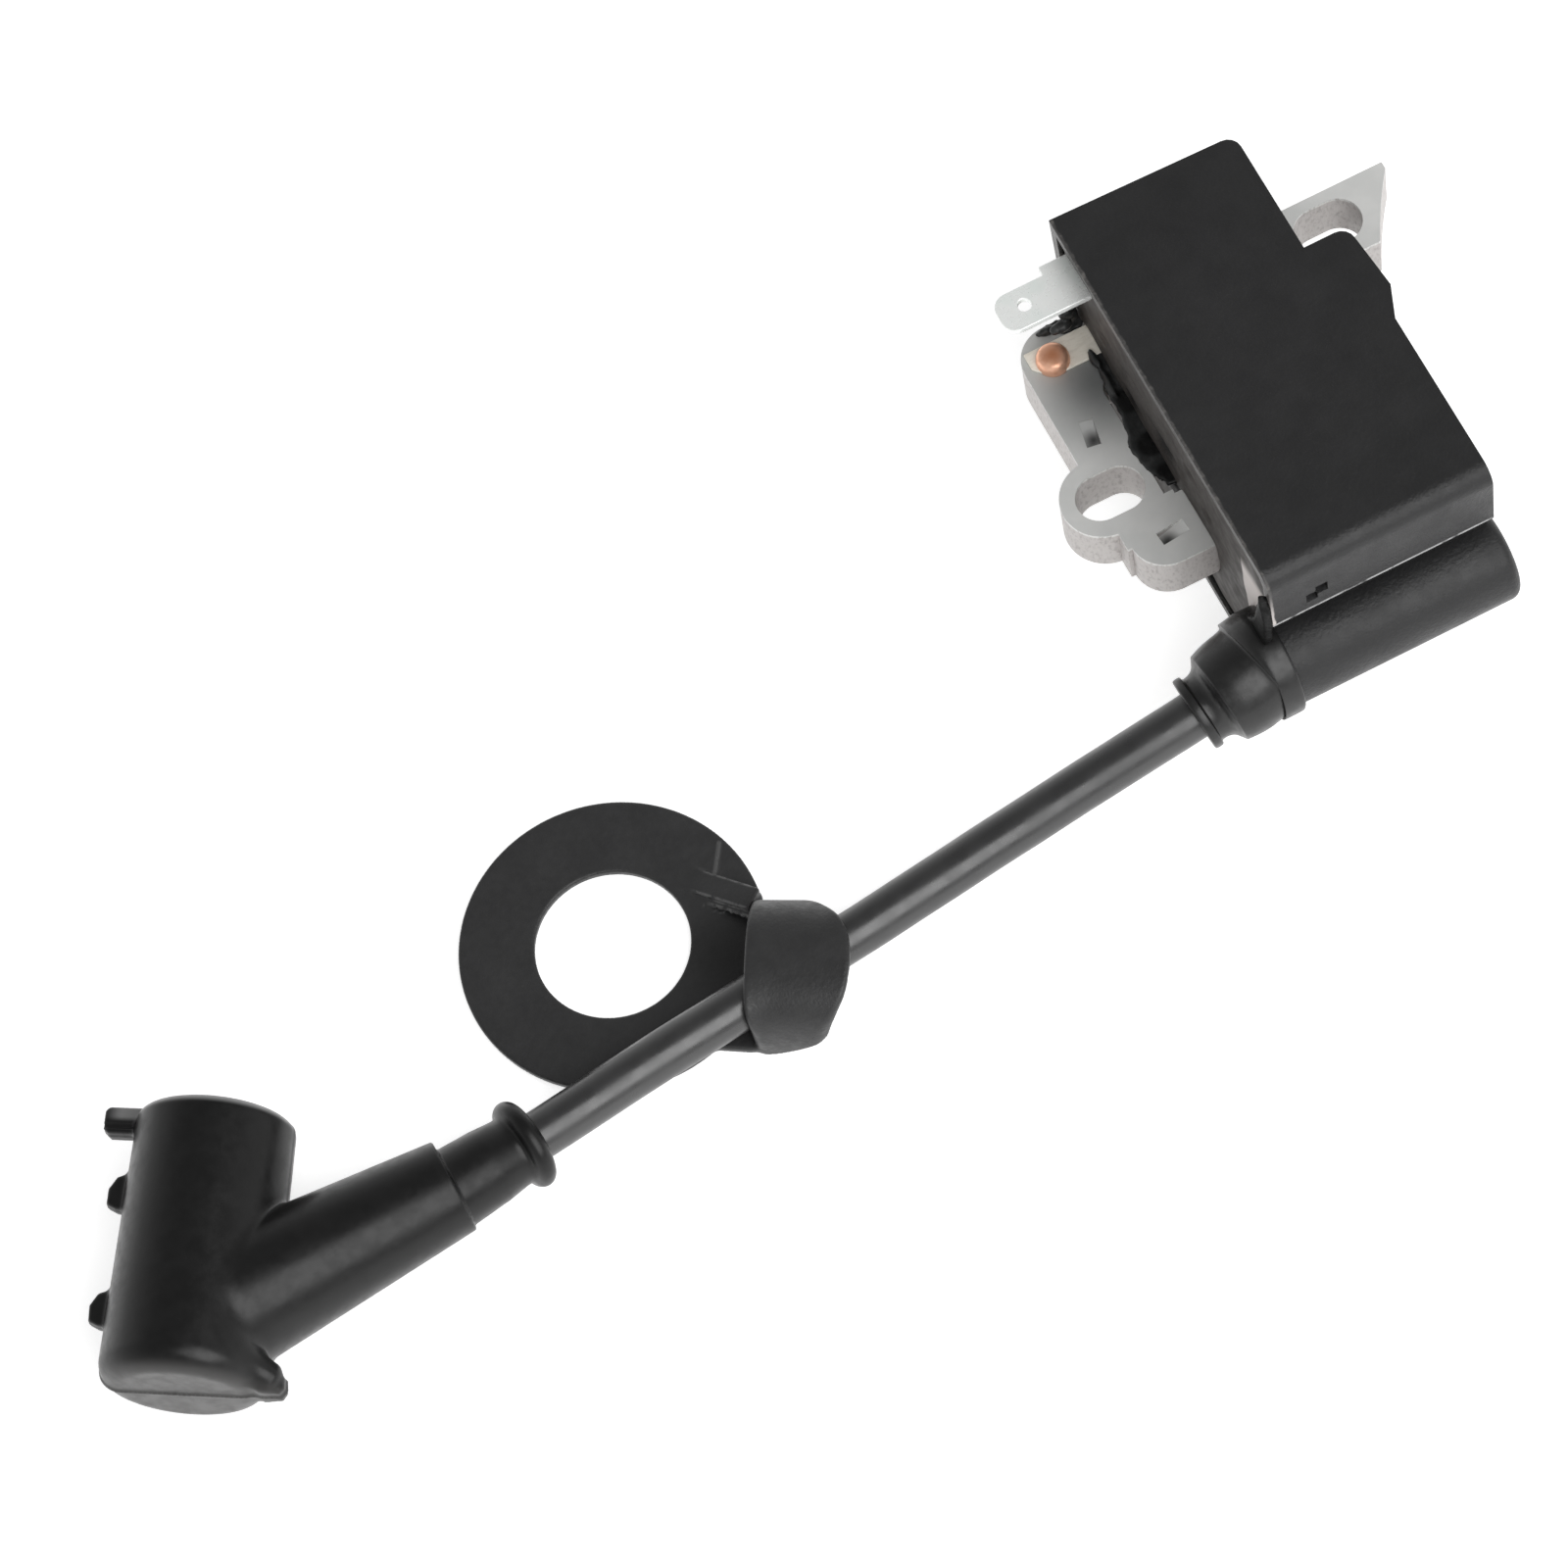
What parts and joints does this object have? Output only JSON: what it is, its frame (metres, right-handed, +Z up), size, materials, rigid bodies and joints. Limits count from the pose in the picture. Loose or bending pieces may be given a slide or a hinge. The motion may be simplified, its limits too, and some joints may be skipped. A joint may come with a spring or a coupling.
{
  "type": "ignition coil",
  "caption": "Potted flywheel ignition coil on a U-shaped lamination stack, with a high-voltage lead, a guide ring and an elbow plug boot.",
  "frame": {"origin": "on the surface the coil unit stands on, under the middle of its outline (cup, laminations and grommet collar)", "axes": "+X along the lead tower, away from the lead and towards the pole faces; +Y towards the cup's narrow end; +Z up, square to the laminations"},
  "size_m": [0.1804, 0.0715, 0.0315],
  "materials": {
    "housing_plastic": "black moulded thermoplastic, satin with a slight mottle",
    "resin": "very dark brown potting resin, mirror gloss",
    "lamination_steel": "light grey sheet steel, slightly pink on the cut sides",
    "copper_rivet": "copper-plated rivet with a soft sheen",
    "tinned_strap": "tinned strip, warm and dull",
    "plated_blade": "bright tin-plated brass",
    "bobbin_plastic": "natural glass-filled nylon",
    "magnet_wire": "enamelled copper wire",
    "board": "green glass-epoxy board",
    "capacitor_film": "dipped film capacitor",
    "component_black": "black epoxy packages",
    "contact_brass": "brass wire",
    "grommet_rubber": "black satin rubber",
    "lead_rubber": "black rubber cable sheath, semi-gloss",
    "conductor": "stranded tinned copper",
    "ring_rubber": "black moulded rubber, satin",
    "boot_rubber": "black glossy moulded rubber",
    "spring_steel": "spring steel wire"
  },
  "bodies": {
    "coil_unit": {"housing": "housing_plastic", "potting_resin": "resin", "core_laminations": "lamination_steel", "ground_rivet": "copper_rivet", "ground_strap": "tinned_strap", "kill_terminal": "plated_blade", "primary_bobbin": "bobbin_plastic", "primary_winding": "magnet_wire", "secondary_bobbin": "bobbin_plastic", "secondary_winding": "magnet_wire", "charge_bobbin": "bobbin_plastic", "charge_winding": "magnet_wire", "circuit_board": "board", "storage_capacitor": "capacitor_film", "thyristor": "component_black", "control_chip": "component_black", "rectifier_diodes": "component_black", "chip_resistors": "component_black", "ht_contact_pin": "contact_brass", "tower_grommet": "grommet_rubber", "ht_lead": "lead_rubber", "lead_conductor": "conductor"},
    "guide_ring": {"guide_ring": "ring_rubber"},
    "plug_boot": {"plug_boot": "boot_rubber", "contact_spring": "spring_steel"}
  },
  "joints": [
    {"name": "ring_slide", "type": "slide", "parent": "coil_unit", "child": "guide_ring", "axis": [0.9936, 0.1128, 0], "range_m": [-0.006, 0.008]},
    {"name": "boot_twist", "type": "hinge", "parent": "coil_unit", "child": "plug_boot", "pos_m": [-0.123, -0.03345, 0.0101], "axis": [0.9707, 0.1747, -0.165], "range_deg": [-90, 90]}
  ]
}
